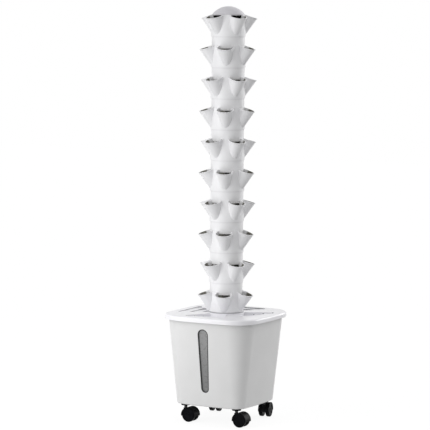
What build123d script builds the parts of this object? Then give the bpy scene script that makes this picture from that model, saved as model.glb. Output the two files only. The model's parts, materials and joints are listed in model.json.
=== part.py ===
"""Hydroponic tower: ten stacked five-pocket planters on a wheeled water tub.

Millimetres, +Z up. The origin is on the floor under the tower's axis, and the
tub's level window faces -Y. A pump on the tub's floor lifts the water through a
riser to a notched diffuser under the cap, and it drips back down inside the
planters.
"""

import os
from math import atan2, cos, degrees, radians, tan

from build123d import *

os.makedirs("parts", exist_ok=True)

# Clearances
running_fit = 0.05
slip_fit = 0.15
press_gap = 0.02
seat_gap = 0.2
body_gap = 0.3

# Casters
caster_height = 66.0
caster_offset = 104.0
wheel_diameter = 50.0
wheel_width = 14.0
wheel_edge = 3.0
wheel_rim = 2.5
wheel_face_recess = 1.2
wheel_face_wall = 3.0
wheel_hub_diameter = 14.0
wheel_side_gap = 0.6
wheel_top_gap = 0.9
axle_diameter = 6.0
hood_web = 11.0
hood_wall = 2.2
hood_drop = 4.0
hood_hub_diameter = 13.0
caster_trail = 19.5
front_swivel = 0.0
rear_swivel = 100.0
stem_collar_diameter = 11.6
stem_show = 10.0
stem_journal_diameter = 8.0
stem_journal_length = 6.0
stem_tenon_length = 12.0
boss_wall = 2.4
flange_diameter = 33.0
flange_thickness = 8.0
flange_edge = 1.0
screw_count = 3
screw_circle = 23.0
screw_diameter = 3.6
screw_head_diameter = 6.6
screw_head_height = 2.2
screw_length = 14.0

# Tub
tub_height = 321.0
tub_bottom_half = 142.0
tub_top_half = 175.0
tub_bottom_corner = 42.0
tub_top_corner = 80.0
tub_bow = 8.0
tub_wall = 3.0
tub_floor = 4.0
tub_bottom_edge = 4.0
tub_lip_reach = 8.0
tub_lip_height = 7.0
caster_pad_height = 6.0
caster_pad_margin = 4.0

# Level window: a tapered strip set deep in a rubber surround
window_top_radius = 21.0
window_bottom_radius = 15.5
window_height = 232.0
window_centre_z = 230.0
window_surround = 3.0
window_recess = 4.0
window_pane = 2.0
window_seat = 2.5
window_seat_width = 3.0
window_frame_wall = 3.0

# Lid
lid_wall = 3.0
lid_skirt = 17.0
lid_rim_edge = 6.0
lid_side_gap = 1.5
lid_steps = 3
lid_step_depth = 3.2
lid_step_margin = 18.0
lid_step_spacing = 29.0
lid_step_spread = 29.0
lid_step_inset = 2.5
lid_step_corner = 9.0
collar_rise = 1.0
collar_wall = 5.5
collar_lip = 5.0
collar_socket = 34.0
port_offset = 104.0
port_diameter = 24.0
grommet_bore = 14.0
grommet_flange = 4.0
grommet_flange_height = 1.8

# Planter
planter_count = 10
planter_pitch = 110.0
pocket_count = 5
tower_turn = 3.5
tube_diameter = 118.0
planter_wall = 2.5
planter_body_height = 76.4
socket_depth = 10.0
socket_fit = 0.35
ledge_height = 2.0
spigot_lead = 1.0
pocket_reach = 103.0
pocket_half_width = 28.5
pocket_half_length = 31.0
pocket_slope = 36.0
pocket_draft = 14.0
rim_slope = 18.5
rim_bead = 1.2
rim_bead_height = 3.4
drip_floor = 2.0
drip_hole_diameter = 14.0
drip_hole_circle = 74.0
guide_bore = 31.0
guide_height = 8.0

# Cap and diffuser
cap_height = 30.0
cap_base_radius = 58.0
cap_wall = 2.4
cap_lip_height = 3.5
cap_lip_drop = 2.0
cap_foot_width = 12.0
diffuser_wall = 2.0
diffuser_depth = 12.0
diffuser_flange = 1.6
diffuser_top_gap = 0.6
diffuser_notches = 20
diffuser_notch_width = 4.0
diffuser_notch_depth = 5.0
diffuser_socket = 16.0

# Riser
riser_diameter = 20.0
riser_wall = 1.8
riser_pieces = 3
coupling_wall = 2.6
coupling_length = 44.0
coupling_stop = 2.0

# Pump
cup_height = 7.0
cup_diameter = 15.0
cup_neck_diameter = 9.0
cup_stem_diameter = 6.0
cup_stem_length = 4.0
cup_edge_distance = 9.0
pump_width = 46.0
pump_height = 44.0
pump_front = 14.0
pump_back = 48.0
pump_edge = 4.0
chamber_diameter = 30.0
chamber_depth = 22.0
rotor_diameter = 15.0
rotor_length = 26.0
rotor_gap = 0.6
impeller_diameter = 25.0
impeller_disc = 2.0
impeller_blades = 6
impeller_blade_thickness = 1.6
impeller_gap = 1.5
pump_shaft_diameter = 3.0
pump_shaft_seat = 4.0
cover_depth = 10.0
cover_wall = 2.4
cover_boss_diameter = 10.0
intake_slots = 5
intake_slot_width = 3.0
intake_slot_spacing = 7.0
intake_eye_diameter = 20.0
knob_diameter = 22.0
knob_thickness = 3.0
knob_grip_width = 4.0
knob_grip_height = 4.0
knob_pin_diameter = 5.0
knob_pin_length = 4.0
nozzle_height = 26.0
nozzle_flange = 4.0
nozzle_flange_height = 4.0
nozzle_spigot = 5.0
nozzle_wall = 2.0
gland_diameter = 10.0
gland_length = 12.0
gland_bore = 6.0
gland_seat = 4.0
gland_height = 32.0

# Heights that follow from the sizes above
axle_z = wheel_diameter / 2
flange_z = caster_height - flange_thickness
collar_stop_z = flange_z - body_gap
boss_top_z = collar_stop_z - stem_show
tub_z = caster_height
tub_floor_z = tub_z + tub_floor
tub_top_z = tub_z + tub_height
lid_plate_z = tub_top_z + seat_gap
lid_top_z = lid_plate_z + lid_wall
lid_rim_z = lid_top_z - lid_skirt
collar_top_z = lid_top_z + collar_rise
first_step_z = collar_top_z + seat_gap
top_step_z = first_step_z + planter_pitch * (planter_count - 1)

# Radii and levels of a planter, whose own zero is the step under its body
tube_radius = tube_diameter / 2
tube_bore = tube_radius - planter_wall
socket_radius = tube_radius + socket_fit
body_radius = socket_radius + planter_wall
ledge_z = planter_body_height - socket_depth
spigot_z = ledge_z + seat_gap - planter_pitch


def save(part, name):
    """Label a finished piece and write its STEP file."""
    part.label = name
    export_step(part, f"parts/{name}.step")


def save_copy(part, place, name):
    """Write a copy of a piece that stands at another place."""
    with BuildPart() as copied:
        with Locations(place):
            add(part)
    save(copied.part, name)


def bowed_square(half, corner, height):
    """Sketch a square with bowed sides and rounded corners at one height."""
    edge = half - tub_bow
    with BuildSketch(Plane.XY.offset(height)) as outline:
        with BuildLine():
            ThreePointArc((-edge, -edge), (0, -half), (edge, -edge))
            ThreePointArc((edge, -edge), (half, 0), (edge, edge))
            ThreePointArc((edge, edge), (0, half), (-edge, edge))
            ThreePointArc((-edge, edge), (-half, 0), (-edge, -edge))
        make_face()
        fillet(outline.vertices(), corner)
    return outline.sketch


# Casters: each piece is made once, with its stem on the Z axis, and then copied
wheel_radius = wheel_diameter / 2
wheel_room = wheel_radius + wheel_top_gap
wheel_inner_y = hood_web / 2 + wheel_side_gap
wheel_outer_y = wheel_inner_y + wheel_width
wheel_bore_y = wheel_outer_y - wheel_face_wall
wheel_face_radius = wheel_radius - wheel_edge - wheel_rim
hood_radius = wheel_room + hood_wall
axle_radius = axle_diameter / 2
journal_radius = stem_journal_diameter / 2
boss_radius = stem_collar_diameter / 2 + boss_wall
axle_axis = Axis((caster_trail, 0, axle_z), (0, 1, 0))
side_plane = Plane((caster_trail, 0, axle_z), x_dir=(1, 0, 0), z_dir=(0, -1, 0))
axle_plane = Plane((caster_trail, 0, axle_z), x_dir=(0, 1, 0), z_dir=(1, 0, 0))

with BuildPart() as caster_flange:
    with BuildSketch(Plane.XY.offset(flange_z)):
        Circle(flange_diameter / 2)
    extrude(amount=flange_thickness)
    fillet(caster_flange.edges().group_by(Axis.Z)[0], flange_edge)
    with BuildSketch(Plane.XY.offset(flange_z)):
        Circle(journal_radius + running_fit)
    extrude(amount=stem_journal_length + body_gap, mode=Mode.SUBTRACT)
    with BuildSketch(Plane.XY.offset(flange_z)):
        with PolarLocations(screw_circle / 2, screw_count):
            Circle(screw_diameter / 2 + slip_fit)
    extrude(amount=flange_thickness, mode=Mode.SUBTRACT)
    with BuildSketch(Plane.XY.offset(flange_z)):
        with PolarLocations(screw_circle / 2, screw_count):
            Circle(screw_head_diameter / 2 + slip_fit)
    extrude(amount=screw_head_height, mode=Mode.SUBTRACT)

with BuildPart() as caster_stem:
    with BuildSketch(Plane.XY.offset(boss_top_z - stem_tenon_length)):
        Circle(journal_radius)
    extrude(amount=flange_z + stem_journal_length - boss_top_z + stem_tenon_length)
    with BuildSketch(Plane.XY.offset(boss_top_z)):
        Circle(stem_collar_diameter / 2)
    extrude(amount=stem_show)

with BuildPart() as caster_hood:
    # Half drum and stem boss, hollowed on both sides of the web for the wheels
    with BuildSketch(side_plane):
        Circle(hood_radius)
        with Locations((0, -hood_drop)):
            Rectangle(
                2 * hood_radius,
                hood_radius,
                align=(Align.CENTER, Align.MAX),
                mode=Mode.SUBTRACT,
            )
    extrude(amount=wheel_outer_y, both=True)
    with BuildSketch(Plane.XY.offset(axle_z - hood_drop)):
        Circle(boss_radius)
    extrude(amount=boss_top_z - axle_z + hood_drop)
    for side in (-1, 1):
        with BuildSketch(side_plane.offset(side * hood_web / 2)):
            Circle(wheel_room)
        extrude(amount=side * wheel_outer_y, mode=Mode.SUBTRACT)
    # Hub for the axle, and the bores
    with BuildSketch(side_plane):
        Circle(hood_hub_diameter / 2)
    extrude(amount=hood_web / 2, both=True)
    with BuildSketch(side_plane):
        Circle(axle_radius + press_gap)
    extrude(amount=hood_web, both=True, mode=Mode.SUBTRACT)
    with BuildSketch(Plane.XY.offset(boss_top_z)):
        Circle(journal_radius + press_gap)
    extrude(amount=-stem_tenon_length - press_gap, mode=Mode.SUBTRACT)
    with BuildSketch(Plane.XY.offset(boss_top_z)):
        Circle(stem_collar_diameter / 2 + press_gap)
    extrude(amount=hood_radius, mode=Mode.SUBTRACT)

with BuildPart() as caster_axle:
    with BuildSketch(side_plane):
        Circle(axle_radius)
    extrude(amount=wheel_bore_y - body_gap, both=True)


def caster_wheel(side):
    """One wheel with a blind bore and a dished outer face, on side 1 or -1."""
    inner, outer, bore_end = (side * y for y in (wheel_inner_y, wheel_outer_y, wheel_bore_y))
    bore = axle_radius + running_fit
    edge = side * wheel_edge
    dish = outer - side * wheel_face_recess
    shoulder = wheel_radius - wheel_edge
    with BuildPart() as wheel:
        with BuildSketch(axle_plane):
            with BuildLine():
                Polyline((bore_end, 0), (bore_end, bore), (inner, bore), (inner, shoulder))
                RadiusArc((inner, shoulder), (inner + edge, wheel_radius), side * wheel_edge)
                Line((inner + edge, wheel_radius), (outer - edge, wheel_radius))
                RadiusArc((outer - edge, wheel_radius), (outer, shoulder), side * wheel_edge)
                Polyline(
                    (outer, shoulder),
                    (outer, wheel_face_radius),
                    (dish, wheel_face_radius),
                    (dish, wheel_hub_diameter / 2),
                    (outer, wheel_hub_diameter / 2),
                    (outer, 0),
                    (bore_end, 0),
                )
            make_face()
        revolve(axis=axle_axis)
    return wheel.part


caster_places = {
    "front_left": (-caster_offset, -caster_offset, front_swivel),
    "front_right": (caster_offset, -caster_offset, front_swivel),
    "rear_left": (-caster_offset, caster_offset, rear_swivel),
    "rear_right": (caster_offset, caster_offset, rear_swivel),
}
wheel_left = caster_wheel(-1)
wheel_right = caster_wheel(1)
for corner, (x, y, swivel) in caster_places.items():
    save_copy(caster_flange.part, Location((x, y, 0)), f"caster_flange_{corner}")
    place = Location((x, y, 0), (0, 0, swivel))
    save_copy(caster_stem.part, place, f"caster_stem_{corner}")
    save_copy(caster_hood.part, place, f"caster_hood_{corner}")
    save_copy(caster_axle.part, place, f"caster_axle_{corner}")
    save_copy(wheel_left, place, f"caster_wheel_{corner}_a")
    save_copy(wheel_right, place, f"caster_wheel_{corner}_b")

with BuildPart() as caster_screws:
    with BuildSketch(Plane.XY.offset(flange_z)):
        with GridLocations(2 * caster_offset, 2 * caster_offset, 2, 2):
            with PolarLocations(screw_circle / 2, screw_count):
                Circle(screw_diameter / 2)
    extrude(amount=screw_length)
    with BuildSketch(Plane.XY.offset(flange_z)):
        with GridLocations(2 * caster_offset, 2 * caster_offset, 2, 2):
            with PolarLocations(screw_circle / 2, screw_count):
                Circle(screw_head_diameter / 2)
    extrude(amount=screw_head_height)
save(caster_screws.part, "caster_screws")

# Tub and its level window
tub_lean = degrees(atan2(tub_top_half - tub_bottom_half, tub_height))
tub_rise = tan(radians(tub_lean))
window_centre_half = tub_bottom_half + (window_centre_z - tub_z) * tub_rise
window_face = Plane(
    (0, -window_centre_half, window_centre_z),
    x_dir=(1, 0, 0),
    z_dir=(0, -1, -tub_rise),
)
window_ends = window_height - window_top_radius - window_bottom_radius
pane_depth = window_recess + window_pane


def window_strip(grow, depth):
    """Sketch the window's tapered strip, grown all round, under the tub's face."""
    with BuildSketch(window_face.offset(-depth)) as strip:
        with Locations((0, window_ends / 2)):
            Circle(window_top_radius + grow)
        with Locations((0, -window_ends / 2)):
            Circle(window_bottom_radius + grow)
        make_hull()
    return strip.sketch


with BuildPart() as tub:
    bottom_outline = bowed_square(tub_bottom_half, tub_bottom_corner, tub_z)
    top_outline = bowed_square(tub_top_half, tub_top_corner, tub_top_z)
    loft([bottom_outline, top_outline], ruled=True)
    fillet(tub.edges().group_by(Axis.Z)[0], tub_bottom_edge)
    lip_half = tub_top_half + tub_lip_reach
    lip_corner = tub_top_corner + tub_lip_reach
    extrude(bowed_square(lip_half, lip_corner, tub_top_z - tub_lip_height), amount=tub_lip_height)
    floor_half = tub_bottom_half + tub_floor * tub_rise - tub_wall
    floor_outline = bowed_square(floor_half, tub_bottom_corner - tub_wall, tub_floor_z)
    mouth_outline = bowed_square(tub_top_half - tub_wall, tub_top_corner - tub_wall, tub_top_z)
    loft([floor_outline, mouth_outline], ruled=True, mode=Mode.SUBTRACT)
    # Frame inside the front wall that carries the window
    frame_depth = pane_depth + window_seat
    sight = -window_surround - window_seat_width
    extrude(window_strip(window_frame_wall, frame_depth), amount=frame_depth - tub_wall / 2)
    extrude(window_strip(0, pane_depth), amount=2 * pane_depth, mode=Mode.SUBTRACT)
    extrude(window_strip(sight, 2 * frame_depth), amount=2 * frame_depth, mode=Mode.SUBTRACT)
    # Pads over the casters, with pilot holes from below
    with BuildSketch(Plane.XY.offset(tub_z + tub_floor / 2)):
        with GridLocations(2 * caster_offset, 2 * caster_offset, 2, 2):
            Circle(flange_diameter / 2 + caster_pad_margin)
    extrude(amount=tub_floor / 2 + caster_pad_height)
    with BuildSketch(Plane.XY.offset(tub_z)):
        with GridLocations(2 * caster_offset, 2 * caster_offset, 2, 2):
            with PolarLocations(screw_circle / 2, screw_count):
                Circle(screw_diameter / 2 + press_gap)
    extrude(amount=screw_length - flange_thickness + slip_fit, mode=Mode.SUBTRACT)
save(tub.part, "tub")

with BuildPart() as window_gasket:
    extrude(window_strip(-slip_fit, pane_depth), amount=pane_depth)
    extrude(window_strip(-window_surround, pane_depth), amount=pane_depth, mode=Mode.SUBTRACT)
save(window_gasket.part, "window_gasket")

with BuildPart() as level_window:
    extrude(window_strip(-window_surround - press_gap, pane_depth), amount=window_pane)
save(level_window.part, "level_window")

# Lid: four stepped dishes fall from the rim to the collar that carries the tower
lid_half = tub_top_half + tub_lip_reach + lid_side_gap + lid_wall
lid_corner = tub_top_corner + tub_lip_reach + lid_side_gap + lid_wall
lid_step_reach = tub_top_half - lid_step_margin
collar_radius = socket_radius + collar_wall


def lid_dishes(step, grow):
    """Sketch one step of the four dishes, grown all round, on the lid's top."""
    far = lid_step_reach - step * lid_step_spacing
    near = socket_radius
    spread = tan(radians(lid_step_spread))
    far_half = far * spread - step * lid_step_inset
    near_half = near * spread - step * lid_step_inset
    with BuildSketch() as dish:
        with BuildLine():
            Polyline(
                (near, -near_half),
                (far, -far_half),
                (far, far_half),
                (near, near_half),
                close=True,
            )
        make_face()
        fillet(dish.vertices().group_by(Axis.X)[-1], lid_step_corner)
        if grow:
            offset(amount=grow)
    with BuildSketch(Plane.XY.offset(lid_top_z)) as dishes:
        with PolarLocations(0, 4):
            add(dish.sketch)
    return dishes.sketch


with BuildPart() as lid:
    extrude(bowed_square(lid_half, lid_corner, lid_rim_z), amount=lid_skirt)
    fillet(lid.edges().group_by(Axis.Z)[-1], lid_rim_edge)
    lid_inside = bowed_square(lid_half - lid_wall, lid_corner - lid_wall, lid_rim_z)
    extrude(lid_inside, amount=lid_skirt - lid_wall, mode=Mode.SUBTRACT)
    for step in range(lid_steps):
        extrude(lid_dishes(step, lid_wall), amount=-lid_wall - (step + 1) * lid_step_depth)
    for step in range(lid_steps):
        extrude(lid_dishes(step, 0), amount=-(step + 1) * lid_step_depth, mode=Mode.SUBTRACT)
    # Collar: the lowest planter's tube goes in, its step rests inside the lip
    with BuildSketch(Plane.XY.offset(collar_top_z + collar_lip)):
        Circle(collar_radius)
    extrude(amount=-collar_lip - collar_socket)
    with BuildSketch(Plane.XY.offset(collar_top_z)):
        Circle(socket_radius)
    extrude(amount=-collar_socket, mode=Mode.SUBTRACT)
    with BuildSketch(Plane.XY.offset(collar_top_z)):
        Circle(body_radius + socket_fit)
    extrude(amount=collar_lip, mode=Mode.SUBTRACT)
    with BuildSketch(Plane.XY.offset(lid_top_z)):
        with Locations((-port_offset, port_offset)):
            Circle(port_diameter / 2)
    extrude(amount=-lid_wall, mode=Mode.SUBTRACT)
save(lid.part, "lid")

grommet_height = lid_wall + 2 * (slip_fit + grommet_flange_height)
port_place = (-port_offset, port_offset)
with BuildPart() as cord_grommet:
    with BuildSketch(Plane.XY.offset(lid_plate_z - slip_fit - grommet_flange_height)):
        with Locations(port_place):
            Circle(port_diameter / 2 - slip_fit)
    extrude(amount=grommet_height)
    for level in (lid_plate_z - slip_fit - grommet_flange_height, lid_top_z + slip_fit):
        with BuildSketch(Plane.XY.offset(level)):
            with Locations(port_place):
                Circle(port_diameter / 2 + grommet_flange)
        extrude(amount=grommet_flange_height)
    with BuildSketch(Plane.XY.offset(lid_plate_z - slip_fit - grommet_flange_height)):
        with Locations(port_place):
            Circle(grommet_bore / 2)
    extrude(amount=grommet_height, mode=Mode.SUBTRACT)
save(cord_grommet.part, "cord_grommet")

# Planter: a stepped tube with five slanted pouches that open upward and outward
rim_fall = tan(radians(rim_slope))
tip_z = planter_body_height - (pocket_reach - body_radius) * rim_fall
pouch_low_z = planter_wall + 1
pouch_high_z = planter_body_height + rim_bead_height
far_radius = 2 * pocket_reach


def pouch_section(level, tip_inset, side_inset):
    """Sketch one level of a pouch toward +X, drawn in at its tip and sides."""
    drop = tip_z - level
    half_width = pocket_half_width - drop * tan(radians(pocket_draft))
    half_length = pocket_half_length * half_width / pocket_half_width
    reach = pocket_reach - drop * tan(radians(pocket_slope)) - tip_inset
    with BuildSketch(Plane.XY.offset(level)) as section:
        with Locations((reach - half_length + side_inset, 0)):
            Ellipse(half_length - side_inset, half_width - side_inset)
    return section.sketch


def pouch(tip_inset, side_inset):
    """The lowest and highest sections of a pouch, for a straight loft."""
    levels = (pouch_low_z, pouch_high_z)
    return [pouch_section(level, tip_inset, side_inset) for level in levels]


def above_rim(drop):
    """Sketch the space over the sloping rim, lowered by a drop, to be revolved."""
    inner_z = planter_body_height - drop
    outer_z = inner_z - (far_radius - body_radius) * rim_fall
    with BuildSketch(Plane.XZ) as space:
        with BuildLine():
            Polyline(
                (0, far_radius),
                (0, inner_z),
                (body_radius, inner_z),
                (far_radius, outer_z),
                (far_radius, far_radius),
                close=True,
            )
        make_face()
    return space.sketch


with BuildPart() as pouch_bead:
    loft(pouch(-rim_bead, -rim_bead), ruled=True)
    revolve(above_rim(rim_bead_height), axis=Axis.Z, mode=Mode.INTERSECT)

with BuildPart() as pouch_outside:
    loft(pouch(0, 0), ruled=True)
    add(pouch_bead.part)
    revolve(above_rim(0), axis=Axis.Z, mode=Mode.SUBTRACT)
    with BuildSketch(Plane.XY):
        Circle(body_radius - planter_wall / 2)
    extrude(amount=pouch_high_z, mode=Mode.SUBTRACT)

with BuildPart() as pouch_inside:
    loft(pouch(planter_wall / cos(radians(pocket_slope)), planter_wall), ruled=True)

with BuildPart() as planter:
    ledge_low_z = ledge_z - ledge_height
    floor_top_z = spigot_z + drip_floor
    guide_radius = guide_bore / 2
    with BuildSketch(Plane.XZ):
        with BuildLine():
            Polyline(
                (guide_radius, spigot_z),
                (tube_radius - spigot_lead, spigot_z),
                (tube_radius, spigot_z + spigot_lead),
                (tube_radius, 0),
                (body_radius, 0),
                (body_radius, planter_body_height),
                (socket_radius, planter_body_height),
                (socket_radius, ledge_z),
                (tube_bore, ledge_z),
                (tube_bore, ledge_low_z),
                (socket_radius, ledge_low_z - socket_radius + tube_bore),
                (socket_radius, planter_wall),
                (tube_bore, planter_wall),
                (tube_bore, floor_top_z),
                (guide_radius + drip_floor, floor_top_z),
                (guide_radius + drip_floor, floor_top_z + guide_height),
                (guide_radius, floor_top_z + guide_height),
                close=True,
            )
        make_face()
    revolve(axis=Axis.Z)
    with PolarLocations(0, pocket_count):
        add(pouch_outside.part)
    with PolarLocations(0, pocket_count):
        add(pouch_inside.part, mode=Mode.SUBTRACT)
    with BuildSketch(Plane.XY.offset(spigot_z)):
        with PolarLocations(drip_hole_circle / 2, pocket_count):
            Circle(drip_hole_diameter / 2)
    extrude(amount=drip_floor, mode=Mode.SUBTRACT)

half_turn = 180 / pocket_count
for tier in range(planter_count):
    step_z = top_step_z - tier * planter_pitch
    turn = tower_turn + (half_turn if tier % 2 == 0 else 0)
    place = Location((0, 0, step_z), (0, 0, turn))
    save_copy(planter.part, place, f"planter_{tier + 1:02d}")

# Diffuser: a notched dish that hangs on the top planter's ledge
diffuser_radius = tube_bore - body_gap
diffuser_seat_z = top_step_z + ledge_z + seat_gap
diffuser_floor_z = diffuser_seat_z - diffuser_depth
bridge_top_z = top_step_z + planter_body_height
cap_lip_z = bridge_top_z - cap_lip_drop
diffuser_top_z = cap_lip_z - diffuser_top_gap
riser_radius = riser_diameter / 2
diffuser_bore = riser_radius + body_gap
with BuildPart() as diffuser:
    with BuildSketch(Plane.XY.offset(diffuser_floor_z)):
        Circle(diffuser_radius)
    extrude(amount=diffuser_top_z - diffuser_floor_z)
    with BuildSketch(Plane.XY.offset(diffuser_seat_z)):
        Circle(socket_radius - body_gap)
    extrude(amount=diffuser_flange)
    with BuildSketch(Plane.XY.offset(diffuser_floor_z + diffuser_wall)):
        Circle(diffuser_radius - diffuser_wall)
    extrude(amount=diffuser_top_z - diffuser_floor_z, mode=Mode.SUBTRACT)
    with BuildSketch(Plane.XY.offset(diffuser_floor_z)):
        Circle(diffuser_bore + diffuser_wall)
    extrude(amount=-diffuser_socket)
    with BuildSketch(Plane.XY.offset(diffuser_floor_z - diffuser_socket)):
        Circle(diffuser_bore)
    extrude(amount=diffuser_socket + diffuser_wall, mode=Mode.SUBTRACT)
    with BuildSketch(Plane.XY.offset(diffuser_top_z)):
        with PolarLocations(diffuser_radius - diffuser_wall / 2, diffuser_notches):
            Rectangle(2 * diffuser_wall, diffuser_notch_width)
    extrude(amount=-diffuser_notch_depth, mode=Mode.SUBTRACT)
save(diffuser.part, "diffuser")

# Cap: a dome whose feet stand on the diffuser's flange behind the bridges
dome_rise = cap_height - (cap_lip_height - cap_lip_drop)
dome_radius = (cap_base_radius**2 + dome_rise**2) / (2 * dome_rise)
dome_base_z = cap_lip_z + cap_lip_height
dome_top_z = dome_base_z + dome_rise
dome_centre_z = dome_top_z - dome_radius
foot_z = diffuser_seat_z + diffuser_flange + seat_gap
foot_inner = diffuser_radius + body_gap
with BuildPart() as top_cap:
    with BuildSketch(Plane.XZ):
        with BuildLine():
            Line((0, dome_base_z), (0, dome_top_z))
            RadiusArc((0, dome_top_z), (cap_base_radius, dome_base_z), dome_radius)
            Line((cap_base_radius, dome_base_z), (0, dome_base_z))
        make_face()
    revolve(axis=Axis.Z)
    with BuildSketch(Plane.XZ):
        with Locations((0, dome_centre_z)):
            Circle(dome_radius - cap_wall)
        split(bisect_by=Plane.YZ)
    revolve(axis=Axis.Z, mode=Mode.SUBTRACT)
    with BuildSketch(Plane.XY.offset(cap_lip_z)):
        Circle(cap_base_radius)
        Circle(cap_base_radius - cap_wall, mode=Mode.SUBTRACT)
    extrude(amount=cap_lip_height)
    with BuildSketch(Plane.XY.offset(foot_z)):
        with PolarLocations(cap_base_radius, pocket_count, start_angle=tower_turn):
            Rectangle(cap_base_radius, cap_foot_width)
        Circle(socket_radius - body_gap, mode=Mode.INTERSECT)
        Circle(foot_inner, mode=Mode.SUBTRACT)
    extrude(amount=cap_lip_z + cap_lip_height / 2 - foot_z)
save(top_cap.part, "top_cap")

# Pump: its axis lies along Y, and its outlet stands on the tower's axis
pump_base_z = tub_floor_z + cup_height
pump_axis_z = pump_base_z + pump_height / 2
pump_top_z = pump_base_z + pump_height
pump_middle_y = (pump_back - pump_front) / 2
chamber_back_y = chamber_depth - pump_front
rotor_front_y = chamber_back_y - impeller_gap
rotor_well_depth = rotor_length
pump_shaft_radius = pump_shaft_diameter / 2
riser_bore = riser_radius - riser_wall
nozzle_radius = riser_bore - slip_fit
nozzle_bore = nozzle_radius - nozzle_wall
cup_x = pump_width - 2 * cup_edge_distance
cup_y = pump_front + pump_back - 2 * cup_edge_distance


def pump_plane(y, z=pump_axis_z):
    """A plane across the pump's axis that faces +Y."""
    return Plane((0, y, z), x_dir=(-1, 0, 0), z_dir=(0, 1, 0))


with BuildPart() as pump_housing:
    with BuildSketch(pump_plane(-pump_front)):
        RectangleRounded(pump_width, pump_height, pump_edge)
    extrude(amount=pump_front + pump_back)
    fillet(pump_housing.edges().group_by(Axis.Y)[-1], pump_edge / 2)
    with BuildSketch(pump_plane(-pump_front)):
        Circle(chamber_diameter / 2)
    extrude(amount=chamber_depth, mode=Mode.SUBTRACT)
    with BuildSketch(pump_plane(chamber_back_y)):
        Circle(rotor_diameter / 2 + rotor_gap)
    extrude(amount=rotor_well_depth, mode=Mode.SUBTRACT)
    with BuildSketch(pump_plane(chamber_back_y + rotor_well_depth)):
        Circle(pump_shaft_radius + press_gap)
    extrude(amount=pump_shaft_seat, mode=Mode.SUBTRACT)
    with BuildSketch(Plane.XY.offset(pump_top_z)):
        Circle(nozzle_radius + press_gap)
    extrude(amount=-pump_height / 2, mode=Mode.SUBTRACT)
    with BuildSketch(pump_plane(pump_back, pump_base_z + gland_height)):
        Circle(gland_diameter / 2 + press_gap)
    extrude(amount=-gland_seat, mode=Mode.SUBTRACT)
    with BuildSketch(Plane((0, pump_middle_y, pump_base_z))):
        with GridLocations(cup_x, cup_y, 2, 2):
            Circle(cup_stem_diameter / 2 + press_gap)
    extrude(amount=cup_stem_length + press_gap, mode=Mode.SUBTRACT)
save(pump_housing.part, "pump_housing")

with BuildPart() as pump_cover:
    with BuildSketch(pump_plane(-pump_front)):
        RectangleRounded(pump_width, pump_height, pump_edge)
    extrude(amount=-cover_depth)
    with BuildSketch(pump_plane(-pump_front - cover_depth)):
        with GridLocations(1, intake_slot_spacing, 1, intake_slots):
            Rectangle(pump_width, intake_slot_width)
    extrude(amount=cover_depth - cover_wall, mode=Mode.SUBTRACT)
    with BuildSketch(pump_plane(-pump_front)):
        Circle(intake_eye_diameter / 2)
    extrude(amount=-cover_wall, mode=Mode.SUBTRACT)
    with BuildSketch(pump_plane(-pump_front)):
        Circle(cover_boss_diameter / 2)
    extrude(amount=-cover_depth)
    with BuildSketch(pump_plane(-pump_front)):
        Circle(pump_shaft_radius + press_gap)
    extrude(amount=-pump_shaft_seat, mode=Mode.SUBTRACT)
    with BuildSketch(pump_plane(-pump_front - cover_depth)):
        Circle(knob_pin_diameter / 2 + running_fit)
    extrude(amount=knob_pin_length + body_gap, mode=Mode.SUBTRACT)
save(pump_cover.part, "pump_cover")

with BuildPart() as pump_shaft:
    with BuildSketch(pump_plane(-pump_front - pump_shaft_seat)):
        Circle(pump_shaft_radius)
    extrude(amount=2 * pump_shaft_seat + chamber_depth + rotor_well_depth)
save(pump_shaft.part, "pump_shaft")

with BuildPart() as pump_impeller:
    with BuildSketch(pump_plane(rotor_front_y)):
        Circle(rotor_diameter / 2)
    extrude(amount=rotor_length)
    with BuildSketch(pump_plane(rotor_front_y)):
        Circle(impeller_diameter / 2)
    extrude(amount=-impeller_disc)
    with BuildSketch(pump_plane(rotor_front_y - impeller_disc)):
        with PolarLocations(0, impeller_blades):
            Rectangle(
                impeller_diameter / 2,
                impeller_blade_thickness,
                align=(Align.MIN, Align.CENTER),
            )
        Circle(impeller_diameter / 2, mode=Mode.INTERSECT)
        Circle(rotor_diameter / 4)
    extrude(amount=impeller_disc + impeller_gap - rotor_front_y - pump_front)
    with BuildSketch(pump_plane(-pump_front)):
        Circle(pump_shaft_radius + running_fit)
    extrude(amount=chamber_depth + rotor_well_depth, mode=Mode.SUBTRACT)
save(pump_impeller.part, "pump_impeller")

with BuildPart() as pump_flow_knob:
    knob_back_y = -pump_front - cover_depth - body_gap
    with BuildSketch(pump_plane(knob_back_y)):
        Circle(knob_diameter / 2)
    extrude(amount=-knob_thickness)
    with BuildSketch(pump_plane(knob_back_y - knob_thickness)):
        Rectangle(knob_diameter - 2 * knob_grip_width, knob_grip_width)
    extrude(amount=-knob_grip_height)
    with BuildSketch(pump_plane(knob_back_y)):
        Circle(knob_pin_diameter / 2)
    extrude(amount=knob_pin_length)
save(pump_flow_knob.part, "pump_flow_knob")

with BuildPart() as pump_outlet:
    with BuildSketch(Plane.XY.offset(pump_top_z - nozzle_spigot)):
        Circle(nozzle_radius)
    extrude(amount=nozzle_spigot + nozzle_flange_height + nozzle_height)
    with BuildSketch(Plane.XY.offset(pump_top_z)):
        Circle(nozzle_radius + nozzle_flange)
    extrude(amount=nozzle_flange_height)
    with BuildSketch(Plane.XY.offset(pump_top_z - nozzle_spigot)):
        Circle(nozzle_bore)
    extrude(amount=nozzle_spigot + nozzle_flange_height + nozzle_height, mode=Mode.SUBTRACT)
save(pump_outlet.part, "pump_outlet")

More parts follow.
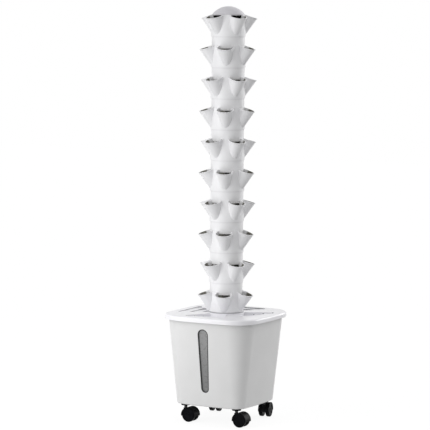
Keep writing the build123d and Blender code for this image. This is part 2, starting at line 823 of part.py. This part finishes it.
with BuildPart() as pump_cord_gland:
    with BuildSketch(pump_plane(pump_back - gland_seat, pump_base_z + gland_height)):
        Circle(gland_diameter / 2)
    extrude(amount=gland_seat + gland_length)
    chamfer(pump_cord_gland.edges().group_by(Axis.Y)[-1], gland_diameter / 8)
    with BuildSketch(pump_plane(pump_back, pump_base_z + gland_height)):
        Circle(gland_bore / 2)
    extrude(amount=gland_length, mode=Mode.SUBTRACT)
save(pump_cord_gland.part, "pump_cord_gland")

with BuildPart() as pump_feet:
    with Locations((0, pump_middle_y, tub_floor_z)):
        with GridLocations(cup_x, cup_y, 2, 2):
            Cone(
                cup_diameter / 2,
                cup_neck_diameter / 2,
                cup_height,
                align=(Align.CENTER, Align.CENTER, Align.MIN),
            )
            Cylinder(
                cup_stem_diameter / 2,
                cup_height + cup_stem_length,
                align=(Align.CENTER, Align.CENTER, Align.MIN),
            )
save(pump_feet.part, "pump_feet")

# Riser: three lengths of pipe from the pump's nozzle to the diffuser
riser_low_z = pump_top_z + nozzle_flange_height
riser_high_z = diffuser_floor_z + diffuser_wall
riser_stops = coupling_stop * (riser_pieces - 1)
riser_length = (riser_high_z - riser_low_z - riser_stops) / riser_pieces
riser_names = ["riser_lower", "riser_middle", "riser_upper"]
with BuildPart() as riser:
    with BuildSketch(Plane.XY.offset(riser_low_z)):
        Circle(riser_radius)
        Circle(riser_bore, mode=Mode.SUBTRACT)
    extrude(amount=riser_length)
for index in range(riser_pieces):
    place = Location((0, 0, index * (riser_length + coupling_stop)))
    save_copy(riser.part, place, riser_names[index])

coupling_radius = riser_radius + slip_fit + coupling_wall
with BuildPart() as riser_couplings:
    for index in range(1, riser_pieces):
        stop_z = riser_low_z + index * (riser_length + coupling_stop) - coupling_stop
        with BuildSketch(Plane.XY.offset(stop_z + coupling_stop / 2)):
            Circle(coupling_radius)
            Circle(riser_radius + slip_fit, mode=Mode.SUBTRACT)
        extrude(amount=coupling_length / 2, both=True)
        with BuildSketch(Plane.XY.offset(stop_z + slip_fit)):
            Circle(coupling_radius)
            Circle(riser_bore, mode=Mode.SUBTRACT)
        extrude(amount=coupling_stop - 2 * slip_fit)
save(riser_couplings.part, "riser_couplings")
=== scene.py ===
import json
from math import cos, radians, sin

import bpy
from mathutils import Matrix, Vector


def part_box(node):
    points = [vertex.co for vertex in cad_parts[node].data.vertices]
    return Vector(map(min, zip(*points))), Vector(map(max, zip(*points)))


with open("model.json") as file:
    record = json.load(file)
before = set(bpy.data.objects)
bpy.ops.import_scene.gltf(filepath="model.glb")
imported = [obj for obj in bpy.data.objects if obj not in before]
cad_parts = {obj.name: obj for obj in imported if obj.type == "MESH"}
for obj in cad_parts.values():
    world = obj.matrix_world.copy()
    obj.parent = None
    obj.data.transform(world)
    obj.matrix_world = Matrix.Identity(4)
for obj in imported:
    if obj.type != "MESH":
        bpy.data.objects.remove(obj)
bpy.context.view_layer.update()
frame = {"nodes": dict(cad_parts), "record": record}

# Camera: the way to it, its focal length in pixels, and the point that it looks at
image_side = 430
view_azimuth = 29.2
view_pitch = 5.5
view_roll = 0.48
view_distance = 8.0
view_focal = 2229.0
view_side = -0.0424
view_height = 0.7412
view_reach = 100.0
sensor_width = 36.0

# Tall softboxes beside the object, as (azimuth, distance, power in watts, width)
softboxes = {
    "left": (-46.0, 0.9, 1.8, 0.4),
    "front_left": (-28.0, 1.3, 6.6, 0.5),
}
softbox_height = 1.8
softbox_middle = 0.72

# Soft suns, as (azimuth, elevation, strength, width of the source). The low one
# shines up through the floor on the pockets' undersides.
suns = {
    "front": (-10.0, 10.0, 0.26, 35.0),
    "low": (24.0, -28.0, 0.44, 40.0),
    "rim": (155.0, 15.0, 1.25, 38.0),
}

# Strength of the sky's light on the object
sky_light = 0.60

# Floor: half its side, the share and the strength of its own glow where it is seen
# directly, its paleness there, and its paleness to light that bounces off it
floor_half = 12.0
floor_white = 0.86
floor_glow = 1.06
floor_seen = 0.9
floor_bounce = 0.3

# Heights and radii on the object that the finishes follow
tower_bore = 0.0574
bore_blend = 0.002
window_bottom, window_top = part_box("level_window")[0].z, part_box("level_window")[1].z
collar_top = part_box("lid")[1].z
collar_lip = 0.005
collar_line = (collar_top - 0.0045, collar_top - 0.0035)
first_step = collar_top - collar_lip
tier_pitch = 0.110
# Band just under each tier's step where a shadow is painted
step_shadow_band = (tier_pitch - 0.006, tier_pitch - 0.001)

# Spans of a noise, of a face's lean toward the axis and of an edge's sharpness
noise_middle = (0.3, 0.7)
toward_axis = (-0.1, -0.3)
sharp_edge = (0.52, 0.60)

# Shared by the finishes
eased_edge = 0.0004
black_specular = 0.03
grain_depth = 0.00003
line_depth = 0.00001


def connect(tree, value, socket):
    """Link a socket to an input, or fill the input with a plain value."""
    if isinstance(value, bpy.types.NodeSocket):
        tree.links.new(value, socket)
    else:
        socket.default_value = value


def arithmetic(tree, operation, first, second=0.0):
    """One arithmetic step on values or sockets."""
    node = tree.nodes.new("ShaderNodeMath")
    node.operation = operation
    for socket, value in zip(node.inputs, (first, second)):
        connect(tree, value, socket)
    return node.outputs["Value"]


def seen_directly(tree, amount):
    """Amount for camera, mirror and glass rays, and nothing for others."""
    path = tree.nodes.new("ShaderNodeLightPath")
    value = path.outputs["Is Camera Ray"]
    for name in ("Is Glossy Ray", "Is Transmission Ray"):
        value = arithmetic(tree, "MAXIMUM", value, path.outputs[name])
    return arithmetic(tree, "MULTIPLY", value, amount)


def shade(colour, factor):
    return tuple(channel * factor for channel in colour)


class Finish:
    """A material with its node tree, and the patterns that the finishes share."""

    def __init__(self, slot, roughness):
        self.slot = slot
        self.material = bpy.data.materials.new(slot)
        self.material.use_nodes = True
        self.tree = self.material.node_tree
        self.shader = self.tree.nodes["Principled BSDF"]
        self.plain("Roughness", roughness)
        places = self.tree.nodes.new("ShaderNodeTexCoord")
        self.metres = places.outputs["Object"]
        self.unit_box = places.outputs["Generated"]

    def plain(self, name, value):
        """Set one of the shader's values, the same all over the surface."""
        self.shader.inputs[name].default_value = value

    def colour(self, socket):
        """Colour the surface, in place of any colour before."""
        self.tone = socket
        self.tree.links.new(socket, self.shader.inputs["Base Color"])

    def roughness(self, socket):
        self.tree.links.new(socket, self.shader.inputs["Roughness"])

    def relief(self, height, depth):
        """Bump the surface by a height pattern, over edges eased like a mould's."""
        eased = self.node("ShaderNodeBevel", {"Radius": eased_edge}, samples=4)
        bump = self.node(
            "ShaderNodeBump",
            {
                "Height": height,
                "Distance": depth,
                "Strength": 1.0,
                "Normal": eased.outputs["Normal"],
            },
        )
        self.tree.links.new(bump.outputs["Normal"], self.shader.inputs["Normal"])

    def node(self, kind, inputs, **settings):
        """Add a node, set it up and link or fill its inputs."""
        node = self.tree.nodes.new(kind)
        for name, value in settings.items():
            setattr(node, name, value)
        for name, value in inputs.items():
            connect(self.tree, value, node.inputs[name])
        return node

    def maths(self, operation, *values):
        return arithmetic(self.tree, operation, *values)

    def vector(self, operation, *values, result="Vector"):
        """One step on vectors."""
        node = self.node("ShaderNodeVectorMath", dict(enumerate(values)), operation=operation)
        return node.outputs[result]

    def mixed(self, factor, first, second):
        """A colour between two colours or colour sockets."""
        mix = self.tree.nodes.new("ShaderNodeMix")
        mix.data_type = "RGBA"
        sockets = {socket.identifier: socket for socket in mix.inputs}
        self.tree.links.new(factor, sockets["Factor_Float"])
        for name, value in (("A_Color", first), ("B_Color", second)):
            if isinstance(value, bpy.types.NodeSocket):
                self.tree.links.new(value, sockets[name])
            else:
                sockets[name].default_value = (*value, 1.0)
        return next(s for s in mix.outputs if s.identifier == "Result_Color")

    def remap(self, value, over, to=(0.0, 1.0)):
        """Value over one span, spread smoothly to another."""
        ranged = self.node(
            "ShaderNodeMapRange",
            {
                "Value": value,
                "From Min": over[0],
                "From Max": over[1],
                "To Min": to[0],
                "To Max": to[1],
            },
            interpolation_type="SMOOTHSTEP",
        )
        return ranged.outputs["Result"]

    def noise(self, size, detail, stretch=(1, 1, 1)):
        """Noise from 0 to 1 with blotches about size across, longer along stretch."""
        scale = [1 / (size * s) for s in stretch]
        mapping = self.node("ShaderNodeMapping", {"Vector": self.metres, "Scale": scale})
        noise = self.node(
            "ShaderNodeTexNoise",
            {"Vector": mapping.outputs["Vector"], "Scale": 1.0, "Detail": detail},
        )
        return noise.outputs["Fac"]

    def blotches(self, size, detail, over=noise_middle, to=(0.0, 1.0), stretch=(1, 1, 1)):
        """Noise over one span of its values, spread smoothly to another."""
        return self.remap(self.noise(size, detail, stretch), over, to)

    def height_z(self):
        """Height over the floor at rest."""
        parts = self.node("ShaderNodeSeparateXYZ", {"Vector": self.metres})
        return parts.outputs["Z"]

    def from_axis(self):
        """Level vector from the tower's axis."""
        return self.vector("MULTIPLY", self.metres, (1.0, 1.0, 0.0))

    def axis_distance(self):
        """Distance from the tower's axis."""
        return self.vector("LENGTH", self.from_axis(), result="Value")

    def facing_axis(self):
        """1 on faces turned toward the tower's axis, 0 on the others."""
        normal = self.tree.nodes.new("ShaderNodeNewGeometry").outputs["True Normal"]
        outward = self.vector("NORMALIZE", self.from_axis())
        return self.remap(self.vector("DOT_PRODUCT", normal, outward, result="Value"), toward_axis)

    def worn_edges(self, amount):
        """From 0 to amount on sharp convex edges, broken up by noise."""
        sharpness = self.tree.nodes.new("ShaderNodeNewGeometry").outputs["Pointiness"]
        edge = self.remap(sharpness, sharp_edge, to=(0.0, amount))
        breaks = self.blotches(size=0.012, detail=2.0, over=(0.35, 0.65))
        return self.maths("MULTIPLY", edge, breaks)


def moulded(slot, colour, roughness, variation=0.03, smear=0.06, depth=0.00002):
    """Injection-moulded plastic: faint flow blotches, uneven gloss and a fine grain."""
    finish = Finish(slot, roughness)
    flow = finish.blotches(size=0.09, detail=3.0)
    tone = finish.mixed(flow, shade(colour, 1 - variation), colour)
    worn = shade(colour, 1 - 2 * variation)
    finish.colour(finish.mixed(finish.worn_edges(amount=0.35), tone, worn))
    gloss = (roughness - smear, roughness + smear)
    finish.roughness(finish.blotches(size=0.03, detail=4.0, over=(0.25, 0.75), to=gloss))
    finish.relief(finish.noise(size=0.0007, detail=2.0), depth)
    return finish


def planter_finish():
    """White moulded tiers, with a painted shadow line under their steps and painted olive shade
    inside.
    """
    colour = (0.87, 0.87, 0.885)
    dust_and_shade = shade(colour, 0.5)
    # Painted shade: olive-grey darkness in blotches on the bore and on faces turned toward the
    # axis, where the pockets' insides lie in shade
    deep_painted_shade, pale_painted_shade = (0.11, 0.104, 0.082), (0.23, 0.22, 0.185)
    finish = moulded("planter_plastic", colour, roughness=0.42)
    shade_blotches = finish.blotches(size=0.008, detail=5.0, over=(0.35, 0.65))
    painted_inside_shade = finish.mixed(shade_blotches, deep_painted_shade, pale_painted_shade)
    # Painted shadow: a faint darker band just under each tier's step
    over_step = finish.maths("SUBTRACT", finish.height_z(), first_step)
    tier_height = finish.maths("FLOORED_MODULO", over_step, tier_pitch)
    step_line = finish.remap(tier_height, step_shadow_band, to=(0.0, 0.15))
    lined = finish.mixed(step_line, finish.tone, dust_and_shade)
    bore = finish.remap(finish.axis_distance(), (tower_bore, tower_bore - bore_blend))
    inside = finish.maths("MAXIMUM", bore, finish.facing_axis())
    finish.colour(finish.mixed(inside, lined, painted_inside_shade))
    return finish


def lid_finish():
    """Glossy white lid, with painted grey shade on its dishes' risers and a painted shade line
    round its collar.
    """
    colour = (0.89, 0.885, 0.915)
    painted_riser_shade, painted_collar_shade = (0.20, 0.20, 0.215), (0.30, 0.30, 0.315)
    finish = moulded(
        "lid_plastic", colour, roughness=0.28, variation=0.02, smear=0.004, depth=0.000002
    )
    # Painted shade: grey on the faces turned toward the axis, the dishes' risers, which lie in
    # shade
    strength = finish.blotches(size=0.05, detail=3.0, over=(0.25, 0.6), to=(0.6, 0.9))
    marks = finish.maths("MULTIPLY", finish.facing_axis(), strength)
    riser_shaded = finish.mixed(marks, finish.tone, painted_riser_shade)
    # Painted shade: a grey line round the collar, where the bottom tier meets it
    collar = finish.remap(finish.height_z(), collar_line, to=(0.0, 0.8))
    finish.colour(finish.mixed(collar, riser_shaded, painted_collar_shade))
    finish.plain("Coat Weight", 0.3)
    finish.plain("Coat Roughness", 0.15)
    return finish


def window_finish():
    """A smoky strip that darkens downward, with faint streaks and mineral specks."""
    bottom, top = (0.185, 0.185, 0.187), (0.265, 0.265, 0.267)
    streak, speck = (0.30, 0.30, 0.30), (0.5, 0.5, 0.5)
    finish = Finish("window_plastic", roughness=0.3)
    rise = finish.remap(finish.height_z(), (window_bottom, window_top))
    tone = finish.mixed(rise, bottom, top)
    streaks = finish.blotches(
        size=0.004, detail=3.0, over=(0.45, 0.75), to=(0.0, 0.22), stretch=(1, 1, 12)
    )
    streaked = finish.mixed(streaks, tone, streak)
    specks = finish.blotches(size=0.0016, detail=1.0, over=(0.68, 0.74), to=(0.0, 0.35))
    finish.colour(finish.mixed(specks, streaked, speck))
    finish.roughness(finish.blotches(size=0.01, detail=3.0, to=(0.24, 0.38)))
    finish.relief(finish.noise(size=0.002, detail=2.0), grain_depth)
    return finish


def rubber_finish():
    """Dark rubber with a dry bloom and a soft matte grain."""
    clean, dry = (0.022, 0.022, 0.023), (0.045, 0.045, 0.046)
    finish = Finish("rubber", roughness=0.7)
    bloom = finish.blotches(size=0.02, detail=4.0, over=(0.35, 0.75), to=(0.0, 0.6))
    finish.colour(finish.mixed(bloom, clean, dry))
    finish.roughness(finish.blotches(size=0.006, detail=3.0, to=(0.6, 0.8)))
    finish.relief(finish.noise(size=0.0006, detail=2.0), grain_depth)
    return finish


def black_finish(slot, colour, roughness):
    """Black plastic with a faint bloom, whose edges are scuffed grey."""
    dry, scuffed = shade(colour, 1.4), shade(colour, 4)
    finish = Finish(slot, roughness)
    bloom = finish.blotches(size=0.015, detail=4.0, over=(0.4, 0.8), to=(0.0, 0.5))
    tone = finish.mixed(bloom, colour, dry)
    finish.colour(finish.mixed(finish.worn_edges(amount=0.5), tone, scuffed))
    gloss = (roughness - 0.03, roughness + 0.05)
    finish.roughness(finish.blotches(size=0.01, detail=4.0, to=gloss))
    finish.plain("Specular IOR Level", black_specular)
    finish.relief(finish.noise(size=0.0008, detail=2.0), grain_depth)
    return finish


def wheel_finish():
    """Black nylon with a dusty tread and faint turning marks on the discs."""
    clean, dry, dusty = (0.003, 0.0033, 0.0042), (0.006, 0.0063, 0.0078), (0.014, 0.013, 0.012)
    tread = (0.965, 0.995)
    ring_rate, ring_depth = 240.0, 0.000006
    finish = Finish("wheel_plastic", roughness=0.3)
    finish.plain("Specular IOR Level", black_specular)
    # Distance from the wheel's axle, as a share of its radius
    centred = finish.vector("SUBTRACT", finish.unit_box, (0.5, 0.5, 0.5))
    across = finish.vector("MULTIPLY", centred, (2.0, 0.0, 2.0))
    radius = finish.vector("LENGTH", across, result="Value")
    on_tread = finish.remap(radius, tread, to=(0.0, 0.6))
    patches = finish.blotches(size=0.004, detail=4.0, over=(0.4, 0.7))
    dust_and_shade = finish.maths("MULTIPLY", on_tread, patches)
    bloom = finish.blotches(size=0.012, detail=4.0, over=(0.35, 0.75))
    tone = finish.mixed(bloom, clean, dry)
    finish.colour(finish.mixed(dust_and_shade, tone, dusty))
    finish.roughness(finish.blotches(size=0.006, detail=4.0, to=(0.24, 0.4)))
    rings = finish.maths("SINE", finish.maths("MULTIPLY", radius, ring_rate))
    finish.relief(rings, ring_depth)
    return finish


def steel_finish(slot, colour, metallic):
    """Drawn steel with fine marks along its length."""
    finish = Finish(slot, roughness=0.34)
    finish.plain("Metallic", metallic)
    marks = finish.noise(size=0.0008, detail=3.0, stretch=(1, 1, 8))
    finish.colour(finish.mixed(finish.remap(marks, noise_middle), shade(colour, 0.8), colour))
    finish.roughness(finish.remap(marks, noise_middle, to=(0.26, 0.44)))
    finish.relief(marks, line_depth)
    return finish


def pipe_finish():
    """Extruded pipe with long faint die lines."""
    low, high = (0.70, 0.70, 0.69), (0.76, 0.76, 0.76)
    finish = Finish("pipe_plastic", roughness=0.4)
    lines = finish.blotches(size=0.0015, detail=2.0, stretch=(1, 1, 60))
    finish.colour(finish.mixed(lines, low, high))
    finish.roughness(finish.blotches(size=0.01, detail=3.0, to=(0.34, 0.5)))
    finish.relief(lines, line_depth)
    return finish


finishes = {
    finish.slot: finish.material
    for finish in (
        planter_finish(),
        moulded("cap_plastic", (0.69, 0.68, 0.715), roughness=0.45, variation=0.02),
        lid_finish(),
        moulded("tub_plastic", (0.765, 0.765, 0.765), roughness=0.36),
        window_finish(),
        rubber_finish(),
        black_finish("black_plastic", (0.006, 0.006, 0.006), roughness=0.5),
        black_finish("pump_plastic", (0.018, 0.018, 0.02), roughness=0.55),
        moulded("impeller_plastic", (0.72, 0.72, 0.71), roughness=0.4),
        pipe_finish(),
        black_finish("caster_plastic", (0.0035, 0.0035, 0.004), roughness=0.34),
        wheel_finish(),
        steel_finish("caster_steel", (0.015, 0.015, 0.016), metallic=0.0),
        steel_finish("steel", (0.58, 0.58, 0.58), metallic=1.0),
    )
}
for part in frame["record"]["subparts"]:
    for slot in frame["nodes"][part["node"]].material_slots:
        slot.material = finishes[part["material_slot"]]


def direction(azimuth, elevation):
    """Unit vector from the object toward an azimuth and elevation."""
    a, e = radians(azimuth), radians(elevation)
    return Vector((sin(a) * cos(e), -cos(a) * cos(e), sin(e)))


def add_object(name, data):
    """Put a mesh, lamp or camera into the scene."""
    item = bpy.data.objects.new(name, data)
    bpy.context.scene.collection.objects.link(item)
    return item


def floor_finish():
    """White where it is seen directly, with a trace of the object's shadow."""
    material = bpy.data.materials.new("floor")
    material.use_nodes = True
    tree = material.node_tree
    tree.nodes.clear()
    diffuse = tree.nodes.new("ShaderNodeBsdfDiffuse")
    paler = seen_directly(tree, floor_seen - floor_bounce)
    connect(tree, arithmetic(tree, "ADD", paler, floor_bounce), diffuse.inputs["Color"])
    glow = tree.nodes.new("ShaderNodeEmission")
    connect(tree, floor_glow, glow.inputs["Strength"])
    lit = tree.nodes.new("ShaderNodeMixShader")
    connect(tree, seen_directly(tree, floor_white), lit.inputs["Fac"])
    connect(tree, diffuse.outputs["BSDF"], lit.inputs[1])
    connect(tree, glow.outputs["Emission"], lit.inputs[2])
    output = tree.nodes.new("ShaderNodeOutputMaterial")
    connect(tree, lit.outputs["Shader"], output.inputs["Surface"])
    return material


# Floor. It takes the object's shadow and casts none, or it would stop the low sun.
floor_mesh = bpy.data.meshes.new("floor")
floor_corners = ((-1, -1), (1, -1), (1, 1), (-1, 1))
floor_mesh.from_pydata(
    [(x * floor_half, y * floor_half, 0) for x, y in floor_corners], [], [(0, 1, 2, 3)]
)
floor_mesh.materials.append(floor_finish())
floor = add_object("floor", floor_mesh)
floor.visible_shadow = False

# Sky: white behind the object, a plain soft light on it
world = bpy.data.worlds.new("studio")
world.use_nodes = True
bpy.context.scene.world = world
sky_tree = world.node_tree
sky = sky_tree.nodes["Background"]
connect(sky_tree, (1.0, 1.0, 1.0, 1.0), sky.inputs["Color"])
brighter = seen_directly(sky_tree, 1 - sky_light)
connect(sky_tree, arithmetic(sky_tree, "ADD", brighter, sky_light), sky.inputs["Strength"])

for name, (azimuth, distance, power, width) in softboxes.items():
    lamp = bpy.data.lights.new(name, "AREA")
    lamp.shape = "RECTANGLE"
    lamp.size = width
    lamp.size_y = softbox_height
    lamp.energy = power
    outward = direction(azimuth, 0)
    softbox = add_object(name, lamp)
    softbox.location = outward * distance + Vector((0, 0, softbox_middle))
    softbox.rotation_euler = outward.to_track_quat("Z", "Y").to_euler()
    softbox.visible_camera = False

for name, (azimuth, elevation, strength, width) in suns.items():
    lamp = bpy.data.lights.new(name, "SUN")
    lamp.energy = strength
    lamp.angle = radians(width)
    sun = add_object(name, lamp)
    sun.rotation_euler = direction(azimuth, elevation).to_track_quat("Z", "Y").to_euler()

# Camera
camera_data = bpy.data.cameras.new("camera")
camera_data.sensor_width = sensor_width
camera_data.lens = view_focal * sensor_width / image_side
camera_data.clip_end = view_reach
camera = add_object("camera", camera_data)
back = direction(view_azimuth, view_pitch)
right = direction(view_azimuth + 90, 0)
above = back.cross(right)
target = right * view_side + Vector((0, 0, view_height))
turn = Matrix((right, above, back)).transposed() @ Matrix.Rotation(radians(view_roll), 3, "Z")
camera.matrix_world = Matrix.Translation(target + back * view_distance) @ turn.to_4x4()
bpy.context.scene.camera = camera
bpy.context.scene.view_settings.view_transform = "Standard"
